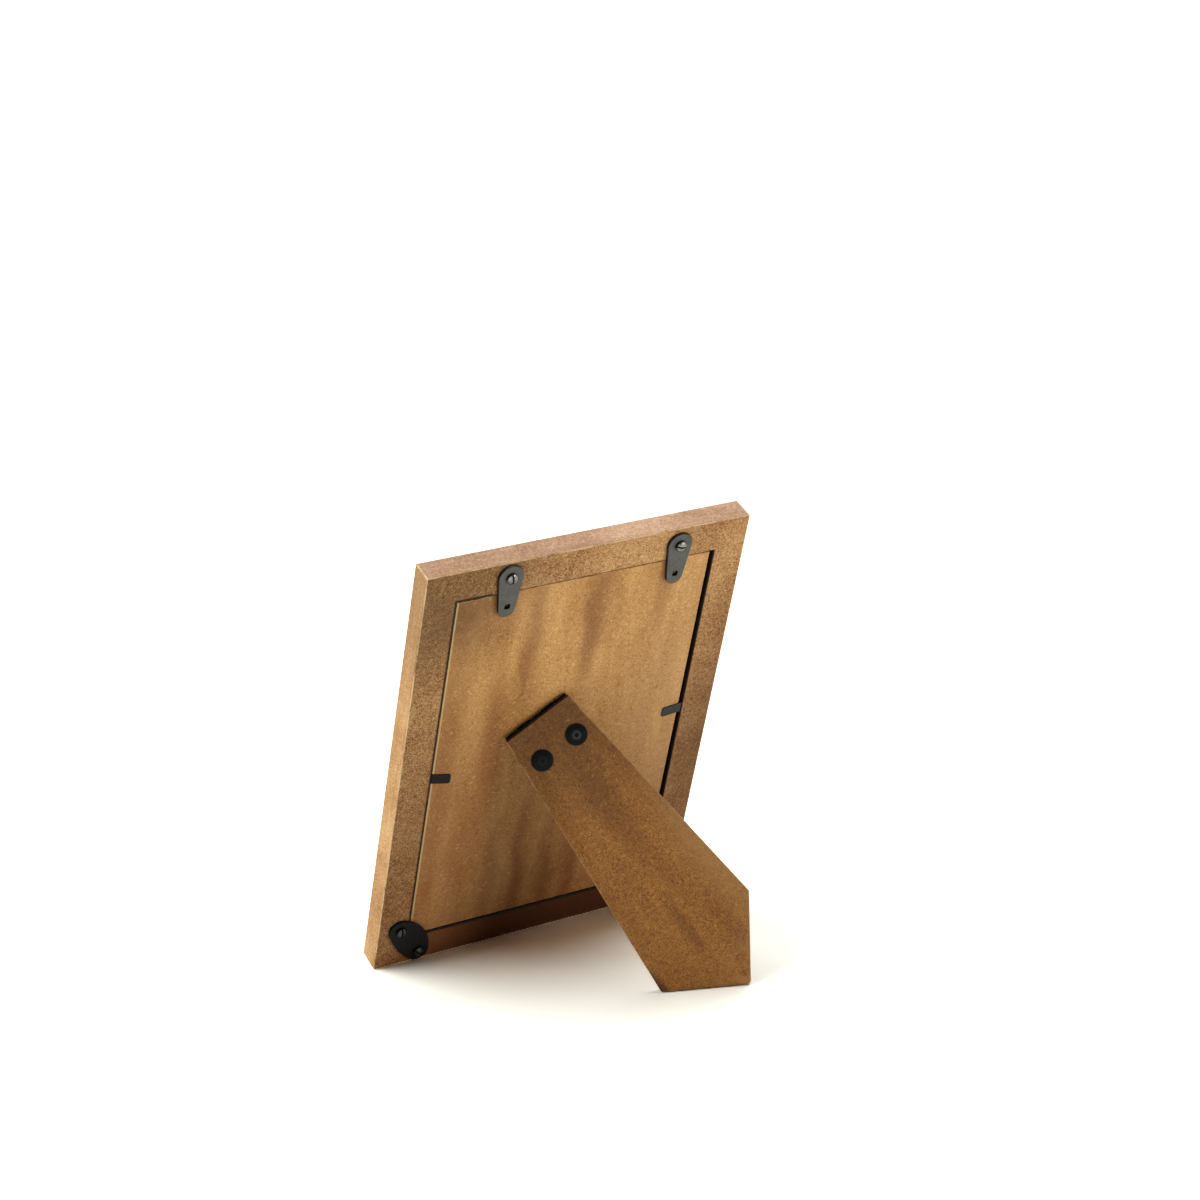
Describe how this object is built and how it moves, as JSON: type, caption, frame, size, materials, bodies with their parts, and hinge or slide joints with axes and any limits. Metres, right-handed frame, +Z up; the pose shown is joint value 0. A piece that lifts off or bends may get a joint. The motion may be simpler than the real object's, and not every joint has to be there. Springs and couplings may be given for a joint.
{
  "type": "easel back photo frame",
  "caption": "Standing photo frame with a mitred wooden moulding, glass and a backing board held by turn buttons, corner plates and bent tabs, leaning on a slanted hinged strut.",
  "frame": {"origin": "middle of the footprint, on the table that the frame stands on", "axes": "+Z up; the picture faces -Y and leans back towards +Y; +X is the left side as seen from behind"},
  "size_m": [0.1294, 0.0892, 0.1784],
  "materials": {
    "stained_fibreboard": "stained, matt",
    "backing_hardboard": "stained, satin",
    "strut_hardboard": "dark stained, satin",
    "clear_glass": "polished",
    "print_paper": "matt",
    "grey_card": "uncoated",
    "black_steel": "black oxide, satin",
    "grey_steel": "blackened, semi-gloss",
    "bright_steel": "zinc plated"
  },
  "bodies": {
    "frame": {"bottom_rail": "stained_fibreboard", "top_rail": "stained_fibreboard", "left_stile": "stained_fibreboard", "right_stile": "stained_fibreboard", "corner_nails": "bright_steel", "glass_pane": "clear_glass", "photo_sheet": "print_paper", "filler_card": "grey_card", "backing_board": "backing_hardboard", "hinge_fixed_leaf": "black_steel", "hinge_pin": "bright_steel", "board_rivets": "black_steel", "turn_button_screws": "bright_steel", "corner_plate_left": "black_steel", "corner_plate_right": "black_steel", "corner_plate_screws": "bright_steel", "side_tab_left_anchor": "black_steel", "side_tab_right_anchor": "black_steel"},
    "easel_strut": {"strut": "strut_hardboard", "hinge_moving_leaf": "black_steel", "strut_rivets": "black_steel"},
    "left_button": {"turn_button_left": "grey_steel"},
    "right_button": {"turn_button_right": "grey_steel"},
    "left_tab": {"side_tab_left": "black_steel"},
    "right_tab": {"side_tab_right": "black_steel"}
  },
  "joints": [
    {"name": "strut_fold", "type": "hinge", "parent": "frame", "child": "easel_strut", "pos_m": [0.0116, -0.00278, 0.10439], "axis": [0.8192, -0.1687, -0.5482], "range_deg": [-32.8, 0]},
    {"name": "left_button_turn", "type": "hinge", "parent": "frame", "child": "left_button", "pos_m": [0.0322, 0.01702, 0.17012], "axis": [0, 0.9558, -0.294], "continuous": true},
    {"name": "right_button_turn", "type": "hinge", "parent": "frame", "child": "right_button", "pos_m": [-0.0358, 0.0168, 0.16938], "axis": [0, 0.9558, -0.294], "continuous": true},
    {"name": "left_tab_bend", "type": "hinge", "parent": "frame", "child": "left_tab", "pos_m": [0.05147, -0.00892, 0.08672], "axis": [0, -0.294, -0.9558], "range_deg": [0, 90]},
    {"name": "right_tab_bend", "type": "hinge", "parent": "frame", "child": "right_tab", "pos_m": [-0.05147, -0.00681, 0.0936], "axis": [0, 0.294, 0.9558], "range_deg": [0, 90]}
  ]
}
